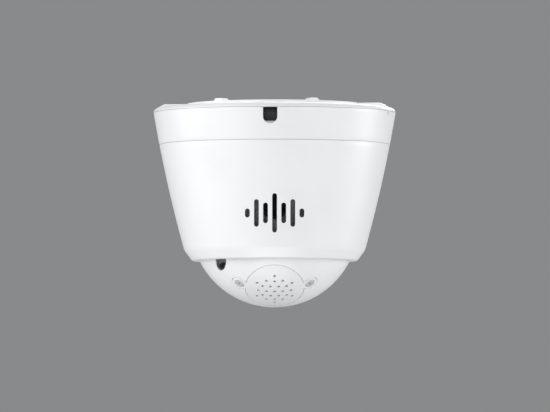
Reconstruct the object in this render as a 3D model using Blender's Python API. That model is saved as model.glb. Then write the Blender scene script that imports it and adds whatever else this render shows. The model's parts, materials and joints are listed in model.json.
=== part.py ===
"""Ceiling turret camera: a round tapered housing that holds a ball with the lens, as separate solids.

Frame: the origin is the middle of the face that rests on the ceiling and +Z points up into the ceiling.
The side with the cable notch and the sound slots faces -Y. The lens looks towards +Y and down.
Lengths in the constants are millimetres. Heights are measured from the ceiling, so they are negative.
"""
import math

import bmesh
import bpy
from mathutils import Matrix, Vector

MM = 0.001
MERGE_DISTANCE = 1e-6
CLEARANCE = 0.3

# Mounting base
PLATE_RADIUS = 46.2
PLATE_TOP = -1.3
PLATE_UNDERSIDE = -3.6
PLATE_TURN = -8.5
CENTRE_PAD_RADIUS = 8.0
EDGE_PAD_RADIUS = 42.6
EDGE_PAD_HALF_FOOT = 3.4
EDGE_PAD_HALF_TOP = 1.7
EDGE_PAD_HALF_LENGTH = 2.7
EDGE_PAD_DEPTH = 1.6
EDGE_PAD_ANGLES = (35.6, -32.1, -144.4, 147.9)
FLANGE_TOP = -3.5
FLANGE_BOTTOM = -5.75
LUG_HALF_WIDTH = 9.0
SKIRT_INNER = 53.0
SKIRT_OUTER = 55.0
SKIRT_BOTTOM = -14.0
CABLE_HOLE_Y = 20.0
CABLE_HOLE_RADIUS = 11.0
CEILING_SCREW_RADIUS = 2.5
CEILING_SCREW_CIRCLE = 34.0

# Bayonet between the base and the collar
BAYONET_ANGLES = (90, 210, 330)
BAYONET_HALF_SPAN = 12
BAYONET_CATCH_TOP = -12.5
BAYONET_TAB_TOP = -10.0

# Tapered outer wall of the collar and the cone shell
WALL_TOP = -6.05
WALL_TOP_RADIUS = 63.5
WALL_FOOT = -78.2
WALL_FOOT_RADIUS = 47.4
WALL_BELLY = 0.97
COLLAR_THICKNESS = 2.4
CONE_THICKNESS = 2.3
SEAM_HEIGHT = -22.7
COLLAR_FLANGE_TOP = -19.3
COLLAR_FLANGE_RADIUS = 51.5
LIP_BOTTOM = -83.7
LIP_FLOOR = -80.5
WALL_STEPS = 36

# Cable notch in the collar, and the slit in its top edge
NOTCH_X = -2.3
NOTCH_WIDTH = 7.4
NOTCH_BOTTOM = -14.5
NOTCH_CORNER = 3.6
SLIT_ANGLE = -20.3
SLIT_WIDTH = 1.6
SLIT_BOTTOM = -8.1

# Sound slots in the cone shell
SLOT_PITCH = 4.71
SLOT_WIDTH = 2.4
SLOT_HEIGHT = -60.5
SLOT_LENGTHS = (20.2, 10.6, 14.2, 4.65)

# Speaker behind the slots
SPEAKER_HEIGHT = -56.4
SPEAKER_OPENING = 7.6
SPEAKER_RADIUS = 8.2
GASKET_HALF_WIDTH = 17.6
GASKET_TOP = -48.2
GASKET_BOTTOM = -72.0
GASKET_THICKNESS = 1.0

# Screws that join the shells
COLLAR_SCREW_CIRCLE = 55.6
COLLAR_SCREW_ANGLES = (30, 150, 270)
CLAMP_SCREW_CIRCLE = 50.8
CLAMP_SCREW_ANGLES = (90, 210, 330)
PILOT_RADIUS = 1.5
SCREW_STEPS = 10

# Ball
BALL_HEIGHT = -63.9
BALL_RADIUS = 44.2
BALL_INNER = 42.0
LENS_ANGLE = 40.0
SEAM_FROM_LENS = 37.0
FACE_FROM_LENS = 33.0
BALL_STEPS = 32
CAP_STEPS = 20

# Cup, shoe and bush that carry the ball
CUP_INNER = 44.6
CUP_OUTER = 46.4
CUP_FLANGE_TOP = -45.3
CUP_FLANGE_BOTTOM = -46.7
CUP_FLANGE_RADIUS = 47.3
CUP_SLOT_HALF_WIDTH = 7.1
CUP_SLOT_START = -10.5
CUP_SLOT_END = 60.5
BUSH_RADIUS = 5.0
BUSH_BORE = 3.2
BUSH_HOLE = 5.3

# Grille cover on the ball; its axis leans this far from the lens axis
COVER_FROM_LENS = 73.8
COVER_HALF_WIDTH = 15.2
COVER_HALF_HEIGHT = 18.2
COVER_INNER = 42.2
EAR_X = 18.4
EAR_Y = 1.5
EAR_RADIUS = 4.1
EAR_RECESS_RADIUS = 2.6
EAR_RECESS_FLOOR = 43.0
EAR_PILOT_RADIUS = 1.4
POCKET_WALL = 2.2
POCKET_TOP = 43.4
POCKET_FLOOR = 41.0
POCKET_INNER = 39.0
SERVICE_OPENING = 13.4
GRILLE_HOLE_RADIUS = 0.7
GRILLE_HOLE_STEPS = 6
GRILLE_RINGS = ((4.25, 0), (8.5, 0), (7.2, 30), (10.5, 30))
GRILLE_STRETCH = 1.1

# Upright slot in the ball with the lock screw at its bottom end; places are measured from the ball's centre
WELL_PLACE = Vector((-27.9, -26.46, -21.8))
WELL_AXIS = Vector((-0.22, -0.92, 0.32)).normalized()
WELL_WIDTH = 5.6
WELL_LENGTH = 8.8
WELL_CENTRE = (0, 1.6)
WELL_WALL = 1.5
WELL_FLOOR = -7.0

LED_FLATNESS = 0.6
BUTTON_X = -6.8
BUTTON_Y = -6.2


# ---------------------------------------------------------------- modelling helpers

def clear_scene():
    """Start from a scene with no objects."""
    for obj in list(bpy.data.objects):
        bpy.data.objects.remove(obj, do_unlink=True)


def make_object(name, bm):
    """Close the bmesh's seams, face it outwards and link it as an object."""
    bmesh.ops.remove_doubles(bm, verts=bm.verts, dist=MERGE_DISTANCE)
    bmesh.ops.recalc_face_normals(bm, faces=bm.faces)
    mesh = bpy.data.meshes.new(name)
    bm.to_mesh(mesh)
    bm.free()
    obj = bpy.data.objects.new(name, mesh)
    bpy.context.scene.collection.objects.link(obj)
    return obj


def turned(name, outline, steps):
    """Spin a closed outline of (radius, height) points round Z."""
    bm = bmesh.new()
    verts = [bm.verts.new((radius * MM, 0, height * MM)) for radius, height in outline]
    edges = []
    for index, vert in enumerate(verts):
        before = verts[index - 1]
        if before.co.x > 0 or vert.co.x > 0:
            edges.append(bm.edges.new((before, vert)))
    bmesh.ops.spin(bm, geom=verts + edges, axis=(0, 0, 1), cent=(0, 0, 0), angle=math.tau, steps=steps)
    return make_object(name, bm)


def rod(name, radius, low, high, steps=16):
    """Plain cylinder on Z."""
    return turned(name, [(0, low), (radius, low), (radius, high), (0, high)], steps)


def prism(name, outline, start, end, axis="Z"):
    """Push a flat outline along an axis; it holds (x, y) for Z, (x, z) for Y and (y, z) for X."""
    order = {"X": (2, 0, 1), "Y": (0, 2, 1), "Z": (0, 1, 2)}[axis]
    bm = bmesh.new()
    corners = []
    for across, along in outline:
        numbers = (across * MM, along * MM, start * MM)
        corners.append(bm.verts.new([numbers[place] for place in order]))
    face = bm.faces.new(corners)
    pushed = bmesh.ops.extrude_face_region(bm, geom=[face])["geom"]
    numbers = (0, 0, (end - start) * MM)
    travel = Vector([numbers[place] for place in order])
    far_verts = [item for item in pushed if isinstance(item, bmesh.types.BMVert)]
    bmesh.ops.translate(bm, verts=far_verts, vec=travel)
    return make_object(name, bm)


def block(name, size, centre, bevel=0.0):
    """Box with its vertical edges chamfered."""
    bm = bmesh.new()
    bmesh.ops.create_cube(bm, size=1)
    bmesh.ops.scale(bm, verts=bm.verts, vec=[length * MM for length in size])
    if bevel:
        upright = [edge for edge in bm.edges
                   if abs(edge.verts[0].co.z - edge.verts[1].co.z) > MERGE_DISTANCE]
        bmesh.ops.bevel(bm, geom=upright, offset=bevel * MM, segments=2, profile=0.5, affect="EDGES")
    bmesh.ops.translate(bm, verts=bm.verts, vec=[place * MM for place in centre])
    return make_object(name, bm)


def move(obj, matrix):
    """Place a shape by changing its mesh, so that later cuts share one frame."""
    obj.data.transform(matrix)
    return obj


def shift(obj, x=0, y=0, z=0):
    """Move a shape by millimetres."""
    return move(obj, Matrix.Translation((x * MM, y * MM, z * MM)))


def turn(obj, degrees, axis="Z"):
    """Turn a shape about an axis through the origin."""
    return move(obj, Matrix.Rotation(math.radians(degrees), 4, axis))


def aim(direction):
    """Rotation that points +Z along a direction."""
    return Vector((0, 0, 1)).rotation_difference(direction).to_matrix().to_4x4()


def combine(obj, others, operation):
    """Boolean the other shapes into obj one after another, and remove them."""
    for other in others:
        modifier = obj.modifiers.new("combine", "BOOLEAN")
        modifier.solver = "EXACT"
        modifier.operation = operation
        modifier.object = other
    bpy.context.view_layer.update()
    depsgraph = bpy.context.evaluated_depsgraph_get()
    mesh = bpy.data.meshes.new_from_object(obj.evaluated_get(depsgraph), depsgraph=depsgraph)
    obj.modifiers.clear()
    bm = bmesh.new()
    bm.from_mesh(mesh)
    bmesh.ops.remove_doubles(bm, verts=bm.verts, dist=MERGE_DISTANCE)
    bmesh.ops.dissolve_degenerate(bm, edges=bm.edges, dist=MERGE_DISTANCE)
    bm.to_mesh(mesh)
    bm.free()
    obj.data = mesh
    for other in others:
        bpy.data.objects.remove(other, do_unlink=True)
    return obj


def join(obj, others):
    """Union."""
    return combine(obj, others, "UNION")


def cut(obj, others):
    """Difference."""
    return combine(obj, others, "DIFFERENCE")


def keep_inside(obj, other):
    """Intersection."""
    return combine(obj, [other], "INTERSECT")


def arc(radius, start, end, count, centre=(0, 0)):
    """Points on an arc, angles in degrees counter-clockwise from the first axis."""
    points = []
    for index in range(count + 1):
        angle = math.radians(start + (end - start) * index / count)
        points.append((centre[0] + radius * math.cos(angle), centre[1] + radius * math.sin(angle)))
    return points


def sector(name, inner, outer, angle, half_span, low, high):
    """Part of a ring round Z, centred on an angle."""
    outline = arc(outer, angle - half_span, angle + half_span, 4)
    outline += arc(inner, angle + half_span, angle - half_span, 4)
    return prism(name, outline, low, high)


def polar(radius, degrees):
    """X and Y of a point on a circle."""
    return radius * math.cos(math.radians(degrees)), radius * math.sin(math.radians(degrees))


def shell_between(name, inner, outer, half_angle, rings=4):
    """Cap of a spherical shell round +Z, out to a half angle from the pole."""
    outline = [(radius, height) for height, radius in arc(outer, 0, half_angle, rings)]
    outline += [(radius, height) for height, radius in arc(inner, half_angle, 0, rings)]
    outline[0] = (0, outer)
    outline[-1] = (0, inner)
    return turned(name, outline, CAP_STEPS)


def material(name, colour, roughness, metallic=0.0, alpha=1.0):
    """Principled material."""
    finish = bpy.data.materials.new(name)
    finish.use_nodes = True
    shader = finish.node_tree.nodes["Principled BSDF"]
    shader.inputs["Base Color"].default_value = (*colour, 1)
    shader.inputs["Roughness"].default_value = roughness
    shader.inputs["Metallic"].default_value = metallic
    shader.inputs["Alpha"].default_value = alpha
    return finish


def finish(obj, look, parent=None, location=(0, 0, 0), rotation=None):
    """Give an object its material, smooth shading and its place under a joint's empty."""
    obj.data.materials.clear()
    obj.data.materials.append(look)
    obj.data.shade_smooth()
    obj.data.set_sharp_from_angle(angle=math.radians(32))
    obj.parent = parent
    obj.location = [place * MM for place in location]
    if rotation is not None:
        obj.rotation_euler = rotation.to_euler()
    return obj


def empty(name, parent=None, location=(0, 0, 0), rotation=(0, 0, 0)):
    """Empty on a joint's axis."""
    point = bpy.data.objects.new(name, None)
    bpy.context.scene.collection.objects.link(point)
    point.parent = parent
    point.location = [place * MM for place in location]
    point.rotation_euler = [math.radians(angle) for angle in rotation]
    return point


# ---------------------------------------------------------------- outlines

def wall_radius(height):
    """Outer radius of the housing at a height: a straight taper with a slight belly."""
    share = (WALL_TOP - height) / (WALL_TOP - WALL_FOOT)
    taper = (WALL_FOOT_RADIUS - WALL_TOP_RADIUS) * share
    return WALL_TOP_RADIUS + taper + 4 * WALL_BELLY * share * (1 - share)


def wall_points(start, end, count, inset=0.0):
    """Points down or up the housing's wall, set in from its outer face."""
    points = []
    for index in range(count + 1):
        height = start + (end - start) * index / count
        points.append((wall_radius(height) - inset, height))
    return points


def stadium(width, length, centre, steps=4):
    """Upright slot outline with round ends."""
    radius = width / 2
    reach = length / 2 - radius
    top = arc(radius, 0, 180, steps, (centre[0], centre[1] + reach))
    bottom = arc(radius, 180, 360, steps, (centre[0], centre[1] - reach))
    return top + bottom


def screw_outline(head_radius, head_height, shank_radius, length, socket):
    """Socket-head screw with the underside of its head at height 0."""
    head = [(0, head_height - socket), (socket, head_height), (head_radius, head_height), (head_radius, 0)]
    return head + [(shank_radius, 0), (shank_radius, -length), (0, -length)]


# ---------------------------------------------------------------- base

def lug(angle, foot_radius, foot_height):
    """Lug on the plate; its outer end slopes down to a foot."""
    top = PLATE_TOP - 0.05
    outline = [(40.0, top), (57.2, top), (foot_radius, foot_height), (foot_radius, -5.2), (40.0, -5.2)]
    shape = prism("lug", outline, -LUG_HALF_WIDTH, LUG_HALF_WIDTH, "Y")
    return turn(shape, PLATE_TURN + angle)


def edge_pad(angle):
    """Small tapered pad near the plate's edge that touches the ceiling."""
    outline = [(-EDGE_PAD_HALF_FOOT, -EDGE_PAD_DEPTH), (EDGE_PAD_HALF_FOOT, -EDGE_PAD_DEPTH)]
    outline += [(EDGE_PAD_HALF_TOP, 0), (-EDGE_PAD_HALF_TOP, 0)]
    near, far = -EDGE_PAD_RADIUS - EDGE_PAD_HALF_LENGTH, -EDGE_PAD_RADIUS + EDGE_PAD_HALF_LENGTH
    return turn(prism("pad", outline, near, far, "Y"), PLATE_TURN + angle)


def mounting_base():
    outline = [(0, 0), (CENTRE_PAD_RADIUS, 0), (CENTRE_PAD_RADIUS + 0.4, PLATE_TOP)]
    outline += [(PLATE_RADIUS, PLATE_TOP), (PLATE_RADIUS, FLANGE_TOP)]
    outline += [(60.9, FLANGE_TOP), (61.9, -3.65), (62.8, -4.2), (63.35, -4.9)]
    outline += [(WALL_TOP_RADIUS, -5.4), (WALL_TOP_RADIUS, FLANGE_BOTTOM), (SKIRT_OUTER, FLANGE_BOTTOM)]
    outline += [(SKIRT_OUTER, SKIRT_BOTTOM), (SKIRT_INNER, SKIRT_BOTTOM), (SKIRT_INNER, FLANGE_BOTTOM)]
    outline += [(42.0, FLANGE_BOTTOM), (42.0, PLATE_UNDERSIDE), (0, PLATE_UNDERSIDE)]
    base = turned("mounting_base", outline, WALL_STEPS)
    added = [lug(0, 60.1, -3.6), lug(180, 62.4, -4.1)]
    added += [edge_pad(angle) for angle in EDGE_PAD_ANGLES]
    catch_bottom = SKIRT_BOTTOM + 0.2
    for angle in BAYONET_ANGLES:
        added.append(sector("catch", 54.0, 57.2, angle, BAYONET_HALF_SPAN, catch_bottom, BAYONET_CATCH_TOP))
    join(base, added)
    holes = [shift(rod("hole", CABLE_HOLE_RADIUS, -10, 5, 24), y=CABLE_HOLE_Y)]
    for angle in (45, 135, 225, 315):
        x, y = polar(CEILING_SCREW_CIRCLE, angle + PLATE_TURN)
        holes.append(shift(rod("hole", CEILING_SCREW_RADIUS, -10, 5, 12), x, y))
    return cut(base, holes)


def base_seal():
    outline = [(55.5, WALL_TOP), (57.1, WALL_TOP), (57.1, -7.55), (55.5, -7.55)]
    return turned("base_seal", outline, WALL_STEPS)


def cable_grommet():
    outline = [(6.0, -1.3), (7.0, -1.0), (10.7, -1.0), (10.7, -3.9), (13.2, -3.9), (13.2, -5.2)]
    outline += [(10.0, -5.8), (7.2, -8.2), (6.0, -8.2)]
    return turned("cable_grommet", outline, 20)


# ---------------------------------------------------------------- housing

def upper_collar():
    bottom = SEAM_HEIGHT + CLEARANCE / 2
    outline = wall_points(WALL_TOP, bottom, 2)
    outline += [(COLLAR_FLANGE_RADIUS, bottom), (COLLAR_FLANGE_RADIUS, COLLAR_FLANGE_TOP)]
    outline += wall_points(COLLAR_FLANGE_TOP, WALL_TOP, 2, COLLAR_THICKNESS)
    collar = turned("upper_collar", outline, WALL_STEPS)
    tab_bottom = BAYONET_CATCH_TOP + CLEARANCE
    tabs = [sector("tab", 55.4, 61.2, angle, BAYONET_HALF_SPAN, tab_bottom, BAYONET_TAB_TOP)
            for angle in BAYONET_ANGLES]
    join(collar, tabs)
    half = NOTCH_WIDTH / 2
    low = NOTCH_BOTTOM + NOTCH_CORNER
    notch = [(NOTCH_X + half, 0), (NOTCH_X - half, 0)]
    notch += arc(NOTCH_CORNER, 180, 270, 4, (NOTCH_X - half + NOTCH_CORNER, low))
    notch += arc(NOTCH_CORNER, 270, 360, 4, (NOTCH_X + half - NOTCH_CORNER, low))
    cuts = [prism("notch", notch, -70, -57, "Y")]
    cuts.append(turn(block("slit", (4.0, SLIT_WIDTH, 6.0), (63.7, 0, SLIT_BOTTOM + 3.0)), SLIT_ANGLE))
    for angle in COLLAR_SCREW_ANGLES:
        cuts.append(shift(rod("hole", PILOT_RADIUS, -25, -15, 12), *polar(COLLAR_SCREW_CIRCLE, angle)))
    return cut(collar, cuts)


def side_entry_plug():
    """Rubber plug with a nose that fills the notch, a little below the wall's outer face."""
    body = [(NOTCH_X - 5.7, -8.0), (NOTCH_X + 5.7, -8.0), (NOTCH_X + 5.7, -16.7), (NOTCH_X - 5.7, -16.7)]
    plug = prism("side_entry_plug", body, -58.1, -56.2, "Y")
    half = NOTCH_WIDTH / 2 - CLEARANCE
    low = NOTCH_BOTTOM + NOTCH_CORNER
    nose = [(NOTCH_X + half, -6.6), (NOTCH_X - half, -6.6)]
    corner = NOTCH_CORNER - CLEARANCE
    nose += arc(corner, 180, 270, 4, (NOTCH_X - half + corner, low))
    nose += arc(corner, 270, 360, 4, (NOTCH_X + half - corner, low))
    return join(plug, [prism("nose", nose, -61.0, -57.5, "Y")])


def cone_shell():
    top = SEAM_HEIGHT - CLEARANCE / 2
    outline = wall_points(top, WALL_FOOT, 5)
    outline += [(43.9, -82.9), (43.3, -83.5), (42.5, LIP_BOTTOM), (41.2, LIP_BOTTOM), (40.2, -83.2)]
    outline += [(41.6, LIP_FLOOR), (43.9, LIP_FLOOR)]
    outline += wall_points(-78.0, top, 3, CONE_THICKNESS)
    cone = turned("cone_shell", outline, WALL_STEPS)
    bosses = []
    holes = []
    for angle in COLLAR_SCREW_ANGLES:
        x, y = polar(COLLAR_SCREW_CIRCLE, angle)
        bosses.append(shift(rod("boss", 3.0, -30, top - 0.2, 14), x, y))
        holes.append(shift(rod("hole", PILOT_RADIUS, -29, -15, 10), x, y))
    for angle in CLAMP_SCREW_ANGLES:
        x, y = polar(CLAMP_SCREW_CIRCLE, angle)
        bosses.append(shift(rod("boss", 3.0, -49.5, -43.5, 14), x, y))
        holes.append(shift(rod("hole", PILOT_RADIUS, -48.7, -40, 10), x, y))
    join(cone, bosses)
    for index in range(-3, 4):
        slot = stadium(SLOT_WIDTH, SLOT_LENGTHS[abs(index)], (index * SLOT_PITCH, SLOT_HEIGHT))
        holes.append(prism("slot", slot, -62, -40, "Y"))
    return cut(cone, holes)


def seat_ring():
    reach = BALL_RADIUS + 0.35
    inner = []
    for height in (-80.2, -76.3, -72.5):
        inner.append((math.sqrt(reach ** 2 - (height - BALL_HEIGHT) ** 2), height))
    outline = [(46.4, -72.5), (44.7, -78.0), (43.5, -80.2)] + inner
    return turned("seat_ring", outline, WALL_STEPS)


def speaker_gasket():
    inset = CONE_THICKNESS + CLEARANCE
    outline = wall_points(GASKET_TOP, GASKET_BOTTOM, 2, inset)
    outline += wall_points(GASKET_BOTTOM, GASKET_TOP, 2, inset + GASKET_THICKNESS)
    gasket = turned("speaker_gasket", outline, WALL_STEPS)
    keep_inside(gasket, block("front", (2 * GASKET_HALF_WIDTH, 40, 60), (0, -50, -60)))
    opening = turn(rod("opening", SPEAKER_OPENING, 30, 60, 20), 90, "X")
    return cut(gasket, [shift(opening, z=SPEAKER_HEIGHT)])


def speaker_driver():
    """Flat driver with a recessed front; height 0 is its front face."""
    outline = [(0, -2.0), (SPEAKER_RADIUS - 0.6, -2.0), (SPEAKER_RADIUS, -1.4), (SPEAKER_RADIUS, 0)]
    outline += [(7.2, 0), (7.2, -0.9), (0, -0.9)]
    return turned("speaker_driver", outline, 20)


def speaker_cone():
    outline = [(0, -0.1), (2.6, -0.2), (3.0, -0.35), (6.2, -0.15), (6.8, -0.3), (6.8, -0.6), (0, -0.6)]
    return turned("speaker_cone", outline, 20)


def clamp_ring():
    outline = [(43.2, -43.2), (53.2, -43.2), (53.2, -41.4), (43.2, -41.4)]
    ring = turned("clamp_ring", outline, WALL_STEPS)
    holes = [shift(rod("hole", PILOT_RADIUS, -50, -35, 12), *polar(CLAMP_SCREW_CIRCLE, angle))
             for angle in CLAMP_SCREW_ANGLES]
    return cut(ring, holes)


def wave_spring():
    """Thin ring bent into three waves."""
    outline = [(42.9, -44.5), (46.6, -44.5), (46.6, -44.0), (42.9, -44.0)]
    spring = turned("wave_spring", outline, WALL_STEPS)
    for vert in spring.data.vertices:
        vert.co.z += 0.4 * MM * math.cos(3 * math.atan2(vert.co.y, vert.co.x))
    return spring


def pan_cup():
    centre = BALL_HEIGHT
    outline = [(radius, centre + height) for height, radius in arc(CUP_OUTER, 0, 64, 6)]
    outline[0] = (0, centre + CUP_OUTER)
    outline += [(42.3, CUP_FLANGE_TOP), (CUP_FLANGE_RADIUS, CUP_FLANGE_TOP)]
    outline += [(CUP_FLANGE_RADIUS, CUP_FLANGE_BOTTOM)]
    rim = math.degrees(math.acos((CUP_FLANGE_BOTTOM - centre) / CUP_INNER))
    outline += [(radius, centre + height) for height, radius in arc(CUP_INNER, rim, 0, 6)]
    outline[-1] = (0, centre + CUP_INNER)
    cup = turned("pan_cup", outline, WALL_STEPS)
    wedge = arc(60, 90 + CUP_SLOT_START, 90 + CUP_SLOT_END, 6)
    wedge += arc(20, 90 + CUP_SLOT_END, 90 + CUP_SLOT_START, 2)
    slot = [(across, centre + along) for across, along in wedge]
    return cut(cup, [prism("slot", slot, -CUP_SLOT_HALF_WIDTH, CUP_SLOT_HALF_WIDTH, "X")])


def tilt_shoe():
    """Slider in the cup's slot; +Z is the bush axis and the origin is the ball's centre."""
    shoe = block("tilt_shoe", (18.0, 17.0, 1.6), (0, 0, 47.6), 2.0)
    tongue = block("tongue", (2 * (CUP_SLOT_HALF_WIDTH - CLEARANCE), 15.0, 2.4), (0, 0, 46.1), 1.0)
    join(shoe, [tongue])
    return cut(shoe, [rod("hole", BUSH_HOLE, 40, 55, 20)])


# ---------------------------------------------------------------- ball
# In the ball's own frame the origin is its centre, the lens looks along -Z and the bush leaves along +Z.

def cover_matrix():
    """Frame of the grille cover inside the ball: +Z outwards, +Y up the cover."""
    return Matrix.Rotation(math.radians(180 - COVER_FROM_LENS), 4, "X")


def ear_matrix(side):
    """Frame of a cover ear inside the cover's frame: +Z outwards through the ear."""
    height = math.sqrt(BALL_RADIUS ** 2 - EAR_X ** 2 - EAR_Y ** 2)
    return aim(Vector((side * EAR_X, EAR_Y, height)))


def cover_footprint(name, growth, low, high):
    """Oval with two ears, grown outwards, along the cover's axis."""
    width, height = COVER_HALF_WIDTH + growth, COVER_HALF_HEIGHT + growth
    shape = move(rod(name, width, low, high, 32), Matrix.Diagonal((1, height / width, 1, 1)))
    ears = [move(rod("ear", EAR_RADIUS + growth, low, high + 3, 12), ear_matrix(side)) for side in (-1, 1)]
    return join(shape, ears)


def ball_rear_shell():
    start = SEAM_FROM_LENS + 0.2
    outer_end = 180 - math.degrees(math.asin(BUSH_HOLE / BALL_RADIUS))
    inner_end = 180 - math.degrees(math.asin(BUSH_HOLE / BALL_INNER))
    outline = [(radius, -height) for height, radius in arc(BALL_RADIUS, start, outer_end, 12)]
    outline += [(radius, -height) for height, radius in arc(BALL_INNER, inner_end, start, 8)]
    shell = turned("ball_rear_shell", outline, BALL_STEPS)
    pocket = cover_footprint("pocket", POCKET_WALL, 30, 50)
    keep_inside(pocket, shell_between("band", POCKET_INNER, POCKET_TOP, 38))
    move(pocket, cover_matrix())
    added = [pocket]
    removed = []
    rebate = cover_footprint("rebate", CLEARANCE, 30, 50)
    keep_inside(rebate, shell_between("band", POCKET_FLOOR, 48, 38))
    removed.append(move(rebate, cover_matrix()))
    removed.append(move(rod("opening", SERVICE_OPENING, 30, 50, 24), cover_matrix()))
    for side in (-1, 1):
        place = cover_matrix() @ ear_matrix(side)
        added.append(move(rod("boss", 3.4, 36.5, 40, 12), place))
        removed.append(move(rod("pilot", EAR_PILOT_RADIUS, 37.2, 50, 10), place))
    outline = stadium(WELL_WIDTH + 2 * WELL_WALL, WELL_LENGTH + 2 * WELL_WALL, WELL_CENTRE)
    boss = move(prism("boss", outline, WELL_FLOOR - WELL_WALL, 7.0), well_matrix())
    band = move(shell_between("band", 30.0, POCKET_TOP, 30), aim(well_matrix().translation))
    added.append(keep_inside(boss, band))
    slot = prism("well", stadium(WELL_WIDTH, WELL_LENGTH, WELL_CENTRE), WELL_FLOOR, 12.0)
    removed.append(move(slot, well_matrix()))
    join(shell, added)
    return cut(shell, removed)


def well_matrix():
    """Frame of the well inside the ball: +Z outwards along its slot, +Y up the slot."""
    across = Vector((0, 0, 1)).cross(WELL_AXIS).normalized()
    upwards = WELL_AXIS.cross(across)
    frame = Matrix((across, upwards, WELL_AXIS)).transposed().to_4x4()
    frame.translation = WELL_PLACE * MM
    return Matrix.Rotation(math.radians(-LENS_ANGLE), 4, "X") @ frame


def front_bezel():
    seam = SEAM_FROM_LENS - 0.2
    outline = [(radius, -height) for height, radius in arc(BALL_RADIUS, seam, FACE_FROM_LENS, 2)]
    face = outline[-1][1]
    outline += [(22.1, face), (21.8, face + 0.3), (21.8, -33.0), (20.2, -33.0), (20.2, -31.8)]
    outline += [(22.2, -31.8), (22.2, -28.0), (24.3, -28.0), (24.3, -32.6)]
    return turned("front_bezel", outline, BALL_STEPS)


def front_window():
    outline = [(0, -36.6), (21.2, -36.6), (21.5, -36.3), (21.5, -34.6), (0, -34.6)]
    return turned("front_window", outline, 32)


def front_mask():
    mask = turned("front_mask", [(8.2, -34.3), (21.4, -34.3), (21.4, -33.3), (8.2, -33.3)], 28)
    holes = [shift(rod("hole", radius + 0.5, -40, -30, 16), x, y) for radius, x, y in led_places()]
    return cut(mask, holes)


def led_places():
    """Radius and place of the two white and the two infrared LEDs."""
    return [(2.6, 14.2, 0), (2.6, -14.2, 0), (2.0, 0, 14.2), (2.0, 0, -14.2)]


def led(name, radius):
    """Domed LED on its carrier; height 0 is the carrier's back and -Z is outwards."""
    outline = [(0, 0), (radius, 0), (radius, -0.9)]
    outline += [(across, -0.9 - LED_FLATNESS * along) for across, along in arc(radius - 0.2, 0, 90, 3)]
    outline[-1] = (0, -0.9 - LED_FLATNESS * (radius - 0.2))
    return turned(name, outline, 12)


def led_board():
    return turned("led_board", [(9.0, -31.5), (19.3, -31.5), (19.3, -29.9), (9.0, -29.9)], 24)


def lens_barrel():
    outline = [(3.5, -20.3), (6.2, -20.3), (6.2, -25.8), (7.8, -25.8), (7.8, -33.6), (7.5, -33.9)]
    outline += [(6.4, -33.9), (6.3, -32.6), (3.5, -32.3)]
    return turned("lens_barrel", outline, 20)


def lens_front_glass():
    dome = 18.0
    rim = math.degrees(math.asin(5.9 / dome))
    top = -34.25
    outline = [(0, -32.9), (5.9, -32.9)]
    outline += [(radius, top + dome - height) for height, radius in arc(dome, rim, 0, 3)]
    outline[-1] = (0, top)
    return turned("lens_front_glass", outline, 20)


def lens_holder():
    holder = block("lens_holder", (15, 15, 6.5), (0, 0, -22.25), 1.0)
    return cut(holder, [rod("bore", 6.5, -30, -15, 24)])


def heat_sink():
    outline = [(21.5, -29.6), (16.5, -29.6), (16.5, -28.0), (19.6, -28.0), (19.6, -21.0), (11.0, -21.0)]
    outline += [(11.0, -19.0), (19.6, -19.0), (19.6, -9.3), (21.5, -9.3)]
    return turned("heat_sink", outline, 28)


def card_slot():
    slot = block("card_slot", (13.0, 14.5, 2.2), (4.2, 0, 36.4))
    return cut(slot, [block("channel", (11.6, 20.0, 1.6), (4.2, 4.0, 36.4))])


def memory_card():
    card = [(-1.3, -5.7), (9.7, -5.7), (9.7, 9.3), (1.4, 9.3), (1.4, 8.0), (-1.3, 5.2)]
    return prism("memory_card", card, 35.9, 36.9)


def sounder():
    outline = [(0, 35.3), (4.0, 35.3), (4.0, 38.0), (3.7, 38.3), (1.2, 38.3), (1.2, 37.0), (0, 37.0)]
    return shift(turned("sounder", outline, 20), -6.3, 4.9)


def reset_switch():
    switch = block("reset_switch", (4.4, 4.4, 1.6), (BUTTON_X, BUTTON_Y, 36.1), 0.4)
    return cut(switch, [shift(rod("bore", 1.5, 35.6, 40, 12), BUTTON_X, BUTTON_Y)])


def grille_cover():
    cover = cover_footprint("grille_cover", 0, 30, 50)
    keep_inside(cover, shell_between("band", COVER_INNER, BALL_RADIUS, 34))
    recesses = []
    for side in (-1, 1):
        recesses.append(move(rod("recess", EAR_RECESS_RADIUS, EAR_RECESS_FLOOR, 50, 16), ear_matrix(side)))
        recesses.append(move(rod("hole", EAR_PILOT_RADIUS, 40, 50, 10), ear_matrix(side)))
    recesses.append(rod("hole", GRILLE_HOLE_RADIUS, 35, 50, GRILLE_HOLE_STEPS))
    for radius, start in GRILLE_RINGS:
        for index in range(6):
            x, y = polar(radius, start + 60 * index)
            hole = rod("hole", GRILLE_HOLE_RADIUS, 35, 50, GRILLE_HOLE_STEPS)
            recesses.append(shift(hole, x, y * GRILLE_STRETCH))
    return cut(cover, recesses)


def cover_gasket():
    gasket = rod("cover_gasket", COVER_HALF_WIDTH - 0.2, 30, 50, 24)
    keep_inside(gasket, shell_between("band", 41.3, 41.9, 30, 3))
    return cut(gasket, [rod("opening", SERVICE_OPENING, 30, 50, 24)])


def lock_screw():
    """Grub screw at the well's floor; height 0 is its lower face."""
    outline = [(0, 0), (2.4, 0), (2.4, 1.8), (2.2, 2.0), (1.2, 2.0), (1.2, 0.9), (0, 0.9)]
    return turned("lock_screw", outline, 16)


def cable_bush():
    outline = [(BUSH_BORE, 39.0), (7.0, 39.0), (7.0, 40.5), (BUSH_RADIUS, 40.5), (BUSH_RADIUS, 51.6)]
    outline += [(BUSH_RADIUS - 0.4, 52.0), (BUSH_BORE, 52.0)]
    return turned("cable_bush", outline, 20)


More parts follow.
